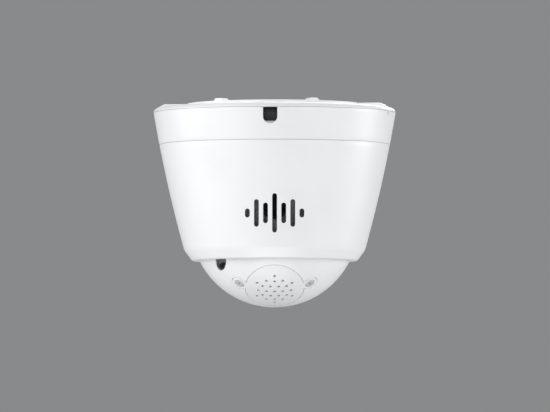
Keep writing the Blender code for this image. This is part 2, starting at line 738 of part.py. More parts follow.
def bush_nut():
    nut = prism("bush_nut", [polar(7.4, 60 * index) for index in range(6)], 48.7, 50.9)
    return cut(nut, [rod("bore", BUSH_HOLE, 40, 60, 24)])


# ---------------------------------------------------------------- assembly

def build_base(looks):
    finish(mounting_base(), looks["white"])
    finish(base_seal(), looks["rubber"])
    finish(cable_grommet(), looks["rubber"], location=(0, CABLE_HOLE_Y, 0))


def build_housing(looks, parent):
    finish(upper_collar(), looks["white"], parent)
    finish(side_entry_plug(), looks["rubber"], parent)
    finish(cone_shell(), looks["white"], parent)
    finish(seat_ring(), looks["bearing"], parent)
    finish(clamp_ring(), looks["zinc"], parent)
    finish(wave_spring(), looks["steel"], parent)
    finish(speaker_gasket(), looks["grey"], parent)
    for number, angle in enumerate(COLLAR_SCREW_ANGLES, 1):
        screw = turned(f"collar_screw_{number}", screw_outline(2.6, 1.9, 1.2, 8.5, 0.8), SCREW_STEPS)
        x, y = polar(COLLAR_SCREW_CIRCLE, angle)
        finish(screw, looks["steel"], parent, (x, y, COLLAR_FLANGE_TOP + CLEARANCE))
    for number, angle in enumerate(CLAMP_SCREW_ANGLES, 1):
        screw = turned(f"clamp_screw_{number}", screw_outline(2.4, 1.7, 1.2, 6.5, 0.8), SCREW_STEPS)
        x, y = polar(CLAMP_SCREW_CIRCLE, angle)
        finish(screw, looks["steel"], parent, (x, y, -41.4 + CLEARANCE))
    lean = math.atan2(WALL_TOP_RADIUS - WALL_FOOT_RADIUS, WALL_TOP - WALL_FOOT)
    outwards = Vector((0, -math.cos(lean), -math.sin(lean)))
    back = CONE_THICKNESS + CLEARANCE + GASKET_THICKNESS + 1.0
    middle = Vector((0, CLEARANCE - wall_radius(SPEAKER_HEIGHT), SPEAKER_HEIGHT)) - outwards * back
    finish(speaker_driver(), looks["black"], parent, middle, aim(outwards))
    finish(speaker_cone(), looks["paper"], parent, middle, aim(outwards))


def build_ball_shells(looks, ball):
    cover = cover_matrix()
    finish(ball_rear_shell(), looks["white"], ball)
    finish(front_bezel(), looks["white"], ball)
    finish(front_window(), looks["window"], ball)
    finish(front_mask(), looks["black"], ball)
    finish(grille_cover(), looks["white"], ball, rotation=cover)
    finish(cover_gasket(), looks["rubber"], ball, rotation=cover)
    finish(cable_bush(), looks["zinc"], ball)
    finish(bush_nut(), looks["zinc"], ball)
    for number, side in enumerate((-1, 1), 1):
        place = cover @ ear_matrix(side)
        screw = turned(f"cover_screw_{number}", screw_outline(2.3, 0.75, 1.1, 5.4, 0.6), SCREW_STEPS)
        seat = place.to_3x3() @ Vector((0, 0, EAR_RECESS_FLOOR + CLEARANCE))
        finish(screw, looks["steel"], ball, seat, place)


def build_ball_inside(looks, ball):
    cover = cover_matrix()
    finish(lens_barrel(), looks["black"], ball)
    finish(lens_front_glass(), looks["glass"], ball)
    finish(lens_holder(), looks["black"], ball)
    finish(led_board(), looks["board"], ball)
    finish(heat_sink(), looks["aluminium"], ball)
    names = ("white_led_1", "white_led_2", "infrared_led_1", "infrared_led_2")
    for name, (radius, x, y) in zip(names, led_places()):
        look = looks["clear_led"] if name.startswith("white") else looks["dark_led"]
        finish(led(name, radius), look, ball, (x, y, -31.8))
    finish(block("sensor_board", (26, 26, 1.6), (0, 0, -17.9), 2.0), looks["board"], ball)
    finish(block("image_sensor", (7.5, 6.5, 0.9), (0, 0, -19.45)), looks["glass"], ball)
    finish(block("main_board", (44, 44, 1.6), (0, 0, -8.2), 4.0), looks["board"], ball)
    finish(block("processor", (14, 14, 1.5), (0, 0, -6.35), 0.5), looks["black"], ball)
    finish(block("power_connector", (12, 7, 5), (0, 14, -4.6), 0.5), looks["bearing"], ball)
    finish(block("service_board", (21, 20, 1.5), (0, 0, 34.25), 1.0), looks["board"], ball, rotation=cover)
    finish(card_slot(), looks["steel"], ball, rotation=cover)
    finish(memory_card(), looks["black"], ball, rotation=cover)
    finish(sounder(), looks["black"], ball, rotation=cover)
    finish(reset_switch(), looks["black"], ball, rotation=cover)
    microphone = shift(rod("microphone", 1.5, 35.3, 36.6, 14), -8.6, -1.2)
    finish(microphone, looks["steel"], ball, rotation=cover)


def build_controls(looks, ball):
    turned_in = cover_matrix().to_euler()
    seat = cover_matrix().to_3x3() @ Vector((BUTTON_X, BUTTON_Y, 0))
    press = empty("reset_press", ball, seat)
    press.rotation_euler = turned_in
    finish(rod("reset_button", 1.15, 36.4, 38.4, 12), looks["red"], press)
    turn_point = empty("lock_screw_turn", ball, well_matrix().translation / MM)
    turn_point.rotation_euler = well_matrix().to_euler()
    finish(lock_screw(), looks["steel"], turn_point, (0, 0, WELL_FLOOR + CLEARANCE))


def make_looks():
    return {
        "white": material("white_shell", (0.87, 0.88, 0.88), 0.42),
        "rubber": material("black_rubber", (0.03, 0.03, 0.032), 0.75),
        "grey": material("grey_gasket", (0.16, 0.17, 0.18), 0.8),
        "black": material("black_plastic", (0.02, 0.02, 0.022), 0.45),
        "paper": material("speaker_paper", (0.012, 0.012, 0.012), 0.85),
        "bearing": material("bearing_plastic", (0.72, 0.71, 0.66), 0.5),
        "zinc": material("zinc_plate", (0.62, 0.63, 0.64), 0.35, 1.0),
        "steel": material("screw_steel", (0.55, 0.55, 0.56), 0.3, 1.0),
        "aluminium": material("bare_aluminium", (0.75, 0.76, 0.77), 0.35, 1.0),
        "board": material("circuit_board", (0.03, 0.16, 0.08), 0.45),
        "window": material("dark_window", (0.015, 0.015, 0.018), 0.06),
        "glass": material("lens_glass", (0.03, 0.03, 0.06), 0.03),
        "clear_led": material("clear_led", (0.85, 0.8, 0.5), 0.1),
        "dark_led": material("dark_led", (0.05, 0.02, 0.03), 0.1),
        "red": material("red_button", (0.5, 0.04, 0.03), 0.4),
    }


def main():
    clear_scene()
    looks = make_looks()
    build_base(looks)
    housing = empty("housing_twist")
    build_housing(looks, housing)
    pan = empty("pan_turn", housing, (0, 0, BALL_HEIGHT))
    finish(pan_cup(), looks["bearing"], pan, (0, 0, -BALL_HEIGHT))
    tilt = empty("tilt_axis", pan)
    ball = empty("roll_axis", tilt, rotation=(LENS_ANGLE, 0, 0))
    shoe_turn = Matrix.Rotation(math.radians(LENS_ANGLE), 4, "X")
    finish(tilt_shoe(), looks["bearing"], tilt, rotation=shoe_turn)
    build_ball_shells(looks, ball)
    build_ball_inside(looks, ball)
    build_controls(looks, ball)


main()
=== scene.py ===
"""Looks of the ceiling turret camera: fine shells, procedural materials, light and camera.

Lengths in the outlines are millimetres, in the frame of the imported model: the origin is the middle of the
ceiling face, +Z points up, the sound slots face -Y and the lens looks towards +Y and down.
"""
import json
import math

import bmesh
import bpy
from mathutils import Matrix, Vector


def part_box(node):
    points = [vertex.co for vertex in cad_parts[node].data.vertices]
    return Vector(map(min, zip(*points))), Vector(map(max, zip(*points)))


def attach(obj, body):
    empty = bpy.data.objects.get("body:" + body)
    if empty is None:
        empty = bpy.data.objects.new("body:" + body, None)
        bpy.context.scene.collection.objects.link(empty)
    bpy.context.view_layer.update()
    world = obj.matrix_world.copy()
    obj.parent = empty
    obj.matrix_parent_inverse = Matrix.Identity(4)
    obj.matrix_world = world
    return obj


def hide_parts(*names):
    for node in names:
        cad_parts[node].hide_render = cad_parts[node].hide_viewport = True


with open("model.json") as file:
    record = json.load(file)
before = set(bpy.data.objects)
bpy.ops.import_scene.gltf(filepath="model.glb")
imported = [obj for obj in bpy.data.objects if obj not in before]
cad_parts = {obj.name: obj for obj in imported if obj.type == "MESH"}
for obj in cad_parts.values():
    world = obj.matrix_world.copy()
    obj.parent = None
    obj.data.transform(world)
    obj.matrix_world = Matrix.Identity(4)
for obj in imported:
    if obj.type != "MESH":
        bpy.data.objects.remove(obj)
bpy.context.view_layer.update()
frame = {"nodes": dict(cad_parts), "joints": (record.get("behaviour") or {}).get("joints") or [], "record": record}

MM = 0.001
MERGE_DISTANCE = 1e-6
LONGEST_FILLET = 0.49

# Gap between two shells, and the depth of the grooves under the rim and at the seam
GAP = 0.3
GROOVE_DEPTH = 0.9

# Steps of the turned surfaces
FINE_STEPS = 180
MEDIUM_STEPS = 96
SMALL_STEPS = 40
HOLE_STEPS = 24

# Degrees between faces above which an edge is rounded, or is shaded sharp
ROUNDED_ANGLE = 35
SHARP_ANGLE = 28

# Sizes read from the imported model
RIM_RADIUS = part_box("mounting_base")[1].x / MM
SKIRT_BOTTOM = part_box("mounting_base")[0].z / MM
SEAM_HEIGHT = (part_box("upper_collar")[0].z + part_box("cone_shell")[1].z) / 2 / MM
LIP_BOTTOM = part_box("cone_shell")[0].z / MM
BALL_RADIUS = (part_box("ball_rear_shell")[1].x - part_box("ball_rear_shell")[0].x) / 2 / MM
BALL_HEIGHT = next(joint for joint in frame["joints"] if joint["name"] == "roll_turn")["pos_m"][2] / MM

# Mounting base; each lug's foot is its lowest outer point, by the angle at which the lug stands
PLATE_RADIUS = 46.2
PLATE_TOP = -1.3
PLATE_BOTTOM = -3.6
PLATE_TURN = -8.5
EDGE_PAD_ANGLES = (35.6, -32.1, -144.4, 147.9)
EDGE_PAD_HALF_FOOT = 3.4
EDGE_PAD_HALF_TOP = 1.7
EDGE_PAD_DEPTH = 1.6
EDGE_PAD_REACH = (-45.3, -39.9)
LUG_FEET = {0: (60.1, -3.6), 180: (62.4, -4.1)}
LUG_START = 40.0
LUG_SHOULDER = 57.2
LUG_TOP = PLATE_TOP - 0.05
LUG_BOTTOM = -5.2
LUG_HALF_WIDTH = 9.0
FLANGE_TOP = -3.5
FLANGE_BOTTOM = -5.75
FLANGE_INSIDE = 42.0
SKIRT_RADIUS = 55.0
SKIRT_INSIDE = 53.0
CABLE_HOLE = (0, 20)
CABLE_HOLE_RADIUS = 11.0
MOUNT_CIRCLE = 34.0
MOUNT_HOLE_RADIUS = 2.5

# Bayonet between base and housing, and the screws of the housing
BAYONET_ANGLES = (90, 210, 330)
BAYONET_HALF_ANGLE = 12
COLLAR_SCREW_ANGLES = (30, 150, 270)
COLLAR_SCREW_CIRCLE = 55.6
CLAMP_SCREW_ANGLES = (90, 210, 330)
CLAMP_SCREW_CIRCLE = 50.8
PILOT_RADIUS = 1.5
BOSS_RADIUS = 3.0

# Tapered wall
WALL_TOP = -6.05
WALL_FOOT = -78.2
WALL_FOOT_RADIUS = 47.4
WALL_BELLY = 0.97
COLLAR_THICKNESS = 2.4
COLLAR_FLOOR_TOP = -19.3
COLLAR_FLOOR_INSIDE = 51.5
CONE_THICKNESS = 2.3
TONGUE_DEPTH = 1.6

# Cable notch with its plug, rim slit and sound slots; the slots' lengths go outwards from the middle one
NOTCH_X = -2.3
NOTCH_WIDTH = 7.4
NOTCH_BOTTOM = -14.5
NOTCH_CORNER = 3.6
LEDGE_TOP = -13.2
PLUG_HALF_WIDTH = 5.7
PLUG_TOP = -8.0
PLUG_BOTTOM = -16.7
SLIT_ANGLE = -20.3
SLIT_WIDTH = 1.6
SLIT_FLOOR = 61.7
SLIT_BOTTOM = -8.1
SLOT_PITCH = 4.71
SLOT_WIDTH = 2.45
SLOT_HEIGHT = -60.5
SLOT_LENGTHS = (20.2, 10.6, 14.2, 4.65)

# Ball; the angles from the lens axis are those of the seam with the bezel, of its flat face and of the cover
LENS_ANGLE = 40.0
SEAM_FROM_LENS = 37.0
FACE_FROM_LENS = 33.0
COVER_FROM_LENS = 73.8
BALL_INSIDE = 42.0
BUSH_HOLE = 5.3
COVER_HALF_WIDTH = 15.2
COVER_HALF_HEIGHT = 18.2
EAR_PLACE = (18.4, 1.5)
EAR_RADIUS = 4.1
EAR_RECESS_FLOOR = 43.0
EAR_SCREW_SEAT = 43.3
GRILLE_HOLE_RADIUS = 0.76
GRILLE_RINGS = ((4.25, 0), (8.5, 0), (7.2, 30), (10.5, 30))
GRILLE_STRETCH = 1.1

# Upright slot in the ball, with the lock screw near its lower end: the place of the screw from the ball's
# centre, and the slot's middle, floor and walls from the screw
WELL_PLACE = Vector((-27.9, -26.46, -21.8))
WELL_AXIS = Vector((-0.22, -0.92, 0.32)).normalized()
WELL_WIDTH = 5.6
WELL_LENGTH = 8.8
WELL_CENTRE = (0, 1.75)
WELL_WALL = 1.5
WELL_FLOOR = -7.0
# Sleeve in the well, whose grey is painted shade inside it
LINER_WALL = 0.35
LINER_INNER_WIDTH = 6.3
LINER_OUTER_WIDTH = LINER_INNER_WIDTH + 2 * LINER_WALL

# Radius and place of each LED, and the lens's front element
LEDS = {
    "white_led_1": (2.6, 14.2, 0), "white_led_2": (2.6, -14.2, 0),
    "infrared_led_1": (2.0, 0, 14.2), "infrared_led_2": (2.0, 0, -14.2),
}
BARREL_RADIUS = 7.8
GLASS_RADIUS = 5.9
GLASS_TOP = -34.25
GLASS_DOME = 18.0

# Studio, in metres
CAMERA_DISTANCE = 4.01
CAMERA_ELEVATION = -2.4
CAMERA_TARGET = Vector((0.0002, 0, -0.0548))
CAMERA_LENS = 500
LIGHT_TARGET = Vector((0, 0, -0.055))
SURROUND = (0.25, 0.253, 0.257, 1)
FLOOR_HEIGHT = -4.6
FLOOR_HALF_SIZE = 9.0


# ---------------------------------------------------------------- modelling helpers

def make_object(name, bm):
    """Close the bmesh's seams, face it outwards and link it as an object."""
    bmesh.ops.remove_doubles(bm, verts=bm.verts, dist=MERGE_DISTANCE)
    bmesh.ops.recalc_face_normals(bm, faces=bm.faces)
    mesh = bpy.data.meshes.new(name)
    bm.to_mesh(mesh)
    bm.free()
    obj = bpy.data.objects.new(name, mesh)
    bpy.context.scene.collection.objects.link(obj)
    return obj


def arc(radius, start, end, count, centre=(0, 0)):
    """Points on an arc, angles in degrees counter-clockwise from the first axis."""
    points = []
    for index in range(count + 1):
        angle = math.radians(start + (end - start) * index / count)
        points.append((centre[0] + radius * math.cos(angle), centre[1] + radius * math.sin(angle)))
    return points


def fillet(corners, count=4):
    """Closed outline from (x, y) or (x, y, radius) corners, with an arc at each corner that has a radius."""
    outline = []
    for index, corner in enumerate(corners):
        if len(corner) == 2:
            outline.append(tuple(corner))
            continue
        here = Vector(corner[:2])
        before = Vector(corners[index - 1][:2]) - here
        after = Vector(corners[(index + 1) % len(corners)][:2]) - here
        opening = before.angle(after)
        reach = min(corner[2] / math.tan(opening / 2),
                    before.length * LONGEST_FILLET, after.length * LONGEST_FILLET)
        radius = reach * math.tan(opening / 2)
        first = here + before.normalized() * reach
        last = here + after.normalized() * reach
        inwards = (before.normalized() + after.normalized()).normalized()
        middle = here + inwards * (radius / math.sin(opening / 2))
        start = first - middle
        sweep = start.angle_signed(last - middle)
        for step in range(count + 1):
            turned_by = Matrix.Rotation(-sweep * step / count, 2)
            outline.append(tuple(middle + turned_by @ start))
    return outline


def turned(name, outline, steps):
    """Spin a closed outline of (radius, height) points round Z."""
    bm = bmesh.new()
    verts = [bm.verts.new((radius * MM, 0, height * MM)) for radius, height in outline]
    edges = []
    for index, vert in enumerate(verts):
        before = verts[index - 1]
        if before.co.x > 0 or vert.co.x > 0:
            edges.append(bm.edges.new((before, vert)))
    bmesh.ops.spin(bm, geom=verts + edges, axis=(0, 0, 1), cent=(0, 0, 0), angle=math.tau, steps=steps)
    return make_object(name, bm)


def rod(name, radius, low, high, steps=SMALL_STEPS):
    """Plain cylinder on Z."""
    return turned(name, [(0, low), (radius, low), (radius, high), (0, high)], steps)


def prism(name, outline, start, end, axis="Z"):
    """Push a flat outline along an axis; it holds (x, y) for Z, (x, z) for Y and (y, z) for X."""
    order = {"X": (2, 0, 1), "Y": (0, 2, 1), "Z": (0, 1, 2)}[axis]
    bm = bmesh.new()
    corners = []
    for across, along in outline:
        numbers = (across * MM, along * MM, start * MM)
        corners.append(bm.verts.new([numbers[place] for place in order]))
    face = bm.faces.new(corners)
    pushed = bmesh.ops.extrude_face_region(bm, geom=[face])["geom"]
    pushed_verts = [item for item in pushed if isinstance(item, bmesh.types.BMVert)]
    numbers = (0, 0, (end - start) * MM)
    travel = Vector([numbers[place] for place in order])
    bmesh.ops.translate(bm, verts=pushed_verts, vec=travel)
    return make_object(name, bm)


def move(obj, matrix):
    """Place a shape by changing its mesh."""
    obj.data.transform(matrix)
    return obj


def shift(obj, x=0, y=0, z=0):
    """Move a shape by millimetres."""
    return move(obj, Matrix.Translation((x * MM, y * MM, z * MM)))


def turn(obj, degrees, axis="Z"):
    """Turn a shape about an axis through the origin."""
    return move(obj, Matrix.Rotation(math.radians(degrees), 4, axis))


def aim(direction):
    """Rotation that points +Z along a direction."""
    return Vector((0, 0, 1)).rotation_difference(direction).to_matrix().to_4x4()


def evaluated(obj):
    """Replace an object's mesh with what its modifiers make of it, cleaned of doubles and slivers."""
    bpy.context.view_layer.update()
    depsgraph = bpy.context.evaluated_depsgraph_get()
    mesh = bpy.data.meshes.new_from_object(obj.evaluated_get(depsgraph), depsgraph=depsgraph)
    obj.modifiers.clear()
    bm = bmesh.new()
    bm.from_mesh(mesh)
    bmesh.ops.remove_doubles(bm, verts=bm.verts, dist=MERGE_DISTANCE)
    bmesh.ops.dissolve_degenerate(bm, edges=bm.edges, dist=MERGE_DISTANCE)
    bm.to_mesh(mesh)
    bm.free()
    obj.data = mesh
    return obj


def combine(obj, others, operation):
    """Boolean the other shapes into obj one after another, and remove them."""
    for other in others:
        modifier = obj.modifiers.new("combine", "BOOLEAN")
        modifier.solver = "EXACT"
        modifier.operation = operation
        modifier.object = other
        evaluated(obj)
        bpy.data.objects.remove(other, do_unlink=True)
    return obj


def join(obj, others):
    """Union."""
    return combine(obj, others, "UNION")


def cut(obj, others):
    """Difference."""
    return combine(obj, others, "DIFFERENCE")


def soften(obj, width):
    """Round the sharp edges."""
    modifier = obj.modifiers.new("soften", "BEVEL")
    modifier.width = width * MM
    modifier.segments = 2
    modifier.limit_method = "ANGLE"
    modifier.angle_limit = math.radians(ROUNDED_ANGLE)
    modifier.use_clamp_overlap = True
    modifier.harden_normals = False
    return evaluated(obj)


def polar(radius, degrees):
    """X and Y of a point on a circle."""
    return radius * math.cos(math.radians(degrees)), radius * math.sin(math.radians(degrees))


def show(obj, look, body, *nodes, slot="white_shell"):
    """Finish a piece: material, shading, the body it rides on and the CAD nodes it stands for."""
    obj.data.materials.clear()
    obj.data.materials.append(look)
    obj.data.shade_smooth()
    obj.data.set_sharp_from_angle(angle=math.radians(SHARP_ANGLE))
    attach(obj, body)
    if nodes:
        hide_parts(*nodes)
    return obj


# ---------------------------------------------------------------- materials

class Finish:
    """Principled material whose node tree is filled step by step; scales are per metre."""

    def __init__(self, name, colour, roughness, metallic=0.0, **numbers):
        self.material = bpy.data.materials.new(name)
        self.material.use_nodes = True
        self.tree = self.material.node_tree
        self.shader = self.tree.nodes["Principled BSDF"]
        self.shader.inputs["Base Color"].default_value = (*colour, 1)
        self.shader.inputs["Roughness"].default_value = roughness
        self.shader.inputs["Metallic"].default_value = metallic
        for socket, value in numbers.items():
            self.shader.inputs[socket.replace("_", " ")].default_value = value
        self.roughness = roughness

    def node(self, kind, **settings):
        made = self.tree.nodes.new(kind)
        for key, value in settings.items():
            setattr(made, key, value)
        return made

    def link(self, source, target):
        self.tree.links.new(source, target)

    def place(self, stretch=(1, 1, 1)):
        """Coordinates on the piece, in metres, stretched along its axes."""
        coordinates = self.node("ShaderNodeTexCoord")
        mapping = self.node("ShaderNodeMapping")
        mapping.inputs["Scale"].default_value = stretch
        self.link(coordinates.outputs["Object"], mapping.inputs["Vector"])
        return mapping.outputs["Vector"]

    def noise(self, scale, detail=3.0, stretch=(1, 1, 1)):
        """Smooth noise, about 0.5 on average."""
        texture = self.node("ShaderNodeTexNoise")
        texture.inputs["Scale"].default_value = scale
        texture.inputs["Detail"].default_value = detail
        self.link(self.place(stretch), texture.inputs["Vector"])
        return texture.outputs["Fac"]

    def cells(self, scale, feature="F1", metric="EUCLIDEAN"):
        """Distance within a pattern of cells."""
        texture = self.node("ShaderNodeTexVoronoi", feature=feature, distance=metric)
        texture.inputs["Scale"].default_value = scale
        self.link(self.place(), texture.inputs["Vector"])
        return texture.outputs["Distance"]

    def span(self, source, low, high, low_out, high_out):
        """Map a range of one number to another range."""
        mapped = self.node("ShaderNodeMapRange")
        self.link(source, mapped.inputs["Value"])
        sockets = ("From Min", "From Max", "To Min", "To Max")
        for socket, value in zip(sockets, (low, high, low_out, high_out)):
            mapped.inputs[socket].default_value = value
        return mapped.outputs["Result"]

    def tint(self, factor, first, second):
        """Make the colour go from first to second with the factor."""
        mix = self.node("ShaderNodeMix", data_type="RGBA")
        self.link(factor, mix.inputs["Factor"])
        mix.inputs["A"].default_value = (*first, 1)
        mix.inputs["B"].default_value = (*second, 1)
        self.link(mix.outputs["Result"], self.shader.inputs["Base Color"])

    def vary_roughness(self, factor, spread):
        """Let the gloss wander about its own value."""
        self.link(self.span(factor, 0.3, 0.7, self.roughness - spread, self.roughness + spread),
                  self.shader.inputs["Roughness"])

    def relief(self, height, distance, strength):
        """Bump in metres."""
        bump = self.node("ShaderNodeBump")
        bump.inputs["Distance"].default_value = distance
        bump.inputs["Strength"].default_value = strength
        self.link(height, bump.inputs["Height"])
        self.link(bump.outputs["Normal"], self.shader.inputs["Normal"])


def shade(colour, factor):
    """Colour made lighter or darker."""
    return tuple(min(1.0, part * factor) for part in colour)


def moulded_plastic(name, colour, roughness, grain=2600.0, depth=0.000012, **numbers):
    """Finely textured moulding: spark-eroded grain, slightly uneven tone and gloss."""
    look = Finish(name, colour, roughness, **numbers)
    slow = look.noise(38.0, 2.0)
    look.tint(look.span(slow, 0.35, 0.65, 0, 1), shade(colour, 0.985), shade(colour, 1.01))
    look.vary_roughness(look.noise(420.0, 4.0), 0.035)
    look.relief(look.noise(grain, 2.0), depth, 0.6)
    return look.material


def rubber(name, colour, roughness):
    """Matt rubber with a dusty tone and small pores."""
    look = Finish(name, colour, roughness, Specular_IOR_Level=0.35)
    look.tint(look.span(look.noise(160.0, 5.0), 0.35, 0.7, 0, 1), colour, shade(colour, 1.7))
    look.vary_roughness(look.noise(700.0), 0.06)
    look.relief(look.cells(1500.0), 0.00003, 0.5)
    return look.material


def foam(name, colour):
    """Open-cell foam: bumpy pores, with painted shade that makes the colour darker in each pore."""
    look = Finish(name, colour, 0.92, Specular_IOR_Level=0.2)
    pores = look.cells(900.0)
    # Painted shade: the colour is darker in the sunken middle of each pore
    look.tint(look.span(pores, 0.1, 0.6, 0, 1), shade(colour, 0.55), shade(colour, 1.25))
    look.relief(pores, 0.00006, 0.5)
    return look.material


def turned_metal(name, colour, roughness, stretch=(1, 1, 9)):
    """Metal with fine machining lines across its axis and faint stains."""
    look = Finish(name, colour, roughness, 1.0)
    lines = look.noise(900.0, 3.0, stretch)
    look.tint(look.span(look.noise(90.0, 4.0), 0.35, 0.7, 0, 1), shade(colour, 0.86), shade(colour, 1.06))
    look.vary_roughness(lines, 0.07)
    look.relief(lines, 0.00001, 0.5)
    return look.material


def circuit_board(name):
    """Green solder mask with copper tracks under it and bright pads."""
    green = (0.012, 0.115, 0.05)
    look = Finish(name, green, 0.32, Coat_Weight=0.3, Coat_Roughness=0.12)
    tracks = look.cells(420.0, "DISTANCE_TO_EDGE")
    edges = look.span(tracks, 0.05, 0.09, 1, 0)
    pads = look.span(look.cells(380.0, metric="CHEBYCHEV"), 0.13, 0.16, 1, 0)
    mix = look.node("ShaderNodeMix", data_type="RGBA")
    look.link(edges, mix.inputs["Factor"])
    mix.inputs["A"].default_value = (*green, 1)
    mix.inputs["B"].default_value = (0.05, 0.24, 0.09, 1)
    top = look.node("ShaderNodeMix", data_type="RGBA")
    look.link(pads, top.inputs["Factor"])
    look.link(mix.outputs["Result"], top.inputs["A"])
    top.inputs["B"].default_value = (0.75, 0.62, 0.33, 1)
    look.link(top.outputs["Result"], look.shader.inputs["Base Color"])
    look.relief(edges, 0.00002, 0.4)
    return look.material


def dark_window(name):
    """Smoked polycarbonate: nearly black, a little see-through, very glossy."""
    look = Finish(name, (0.006, 0.006, 0.008), 0.035, Alpha=0.42, Coat_Weight=1.0, Coat_Roughness=0.02,
                  IOR=1.58)
    look.relief(look.noise(30.0, 1.0), 0.000004, 0.3)
    smears = look.noise(70.0, 4.0)
    look.link(look.span(smears, 0.45, 0.75, 0.03, 0.075), look.shader.inputs["Roughness"])
    return look.material


def coated_lens(name):
    """Front lens element with a violet and green anti-reflection coating."""
    look = Finish(name, (0.01, 0.008, 0.03), 0.02, Coat_Weight=1.0, Coat_Roughness=0.01, IOR=1.7)
    rings = look.node("ShaderNodeLayerWeight")
    rings.inputs["Blend"].default_value = 0.35
    look.tint(rings.outputs["Facing"], (0.012, 0.006, 0.05), (0.02, 0.10, 0.07))
    return look.material


def led_lens(name, core, rim):
    """Clear dome over a chip: the colour comes up in the middle."""
    look = Finish(name, core, 0.06, Coat_Weight=1.0, Coat_Roughness=0.03, IOR=1.5)
    facing = look.node("ShaderNodeLayerWeight")
    facing.inputs["Blend"].default_value = 0.5
    look.tint(facing.outputs["Facing"], core, rim)
    look.relief(look.noise(600.0), 0.000004, 0.3)
    return look.material


def make_looks():
    """All the materials, by a short name."""
    return {
        "white": moulded_plastic("white_shell_fine", (0.86, 0.868, 0.875), 0.36),
        "ball": moulded_plastic("white_ball_fine", (0.84, 0.848, 0.858), 0.33),
        "cover": moulded_plastic("cover_fine", (0.81, 0.82, 0.835), 0.4, 2200.0),
        "dark": moulded_plastic("black_plastic_fine", (0.018, 0.018, 0.02), 0.42, 2400.0, 0.00002),
        "paper": foam("speaker_paper_fine", (0.010, 0.010, 0.011)),
        "rubber": rubber("black_rubber_fine", (0.022, 0.022, 0.024), 0.7),
        "foam": foam("grey_gasket_fine", (0.085, 0.09, 0.093)),
        # Grey for the sleeve in the lock screw's well: painted shade on the well's walls
        "well_shade_grey": moulded_plastic("well_painted_shade_fine", (0.58, 0.585, 0.59), 0.6),
        # Flat grey for the piece on the notch's floor: painted shade
        "notch_shade_grey": moulded_plastic("notch_painted_shade_fine", (0.47, 0.475, 0.48), 0.55),
        "bearing": moulded_plastic("bearing_plastic_fine", (0.66, 0.65, 0.6), 0.45),
        "zinc": turned_metal("zinc_plate_fine", (0.62, 0.63, 0.65), 0.34),
        "steel": turned_metal("screw_steel_fine", (0.50, 0.50, 0.52), 0.28),
        "lacquer": moulded_plastic("lacquered_screw_fine", (0.62, 0.62, 0.63), 0.3, 3000.0, Metallic=0.15),
        "aluminium": turned_metal("bare_aluminium_fine", (0.78, 0.79, 0.8), 0.33, (1, 1, 12)),
        "board": circuit_board("circuit_board_fine"),
        "window": dark_window("dark_window_fine"),
        "lens": coated_lens("lens_glass_fine"),
        "white_led": led_lens("white_led_fine", (0.95, 0.78, 0.25), (0.9, 0.9, 0.86)),
        "infrared_led": led_lens("infrared_led_fine", (0.10, 0.015, 0.03), (0.03, 0.02, 0.03)),
        "red": moulded_plastic("red_button_fine", (0.5, 0.035, 0.03), 0.35),
    }


# ---------------------------------------------------------------- housing

def wall_radius(height):
    """Outer radius of the housing at a height: a straight taper with a slight belly."""
    share = (WALL_TOP - height) / (WALL_TOP - WALL_FOOT)
    return RIM_RADIUS + (WALL_FOOT_RADIUS - RIM_RADIUS) * share + 4 * WALL_BELLY * share * (1 - share)


def wall_points(start, end, count, inset=0.0):
    """Points along the housing's wall, set in from its outer face."""
    heights = [start + (end - start) * index / count for index in range(count + 1)]
    return [(wall_radius(height) - inset, height) for height in heights]


def bayonet_tabs(name, outer, inner, low, high):
    """Three curved tabs between two radii and two heights."""
    tabs = []
    for angle in BAYONET_ANGLES:
        start, end = angle - BAYONET_HALF_ANGLE, angle + BAYONET_HALF_ANGLE
        tabs.append(prism(name, arc(outer, start, end, 10) + arc(inner, end, start, 10), low, high))
    return tabs


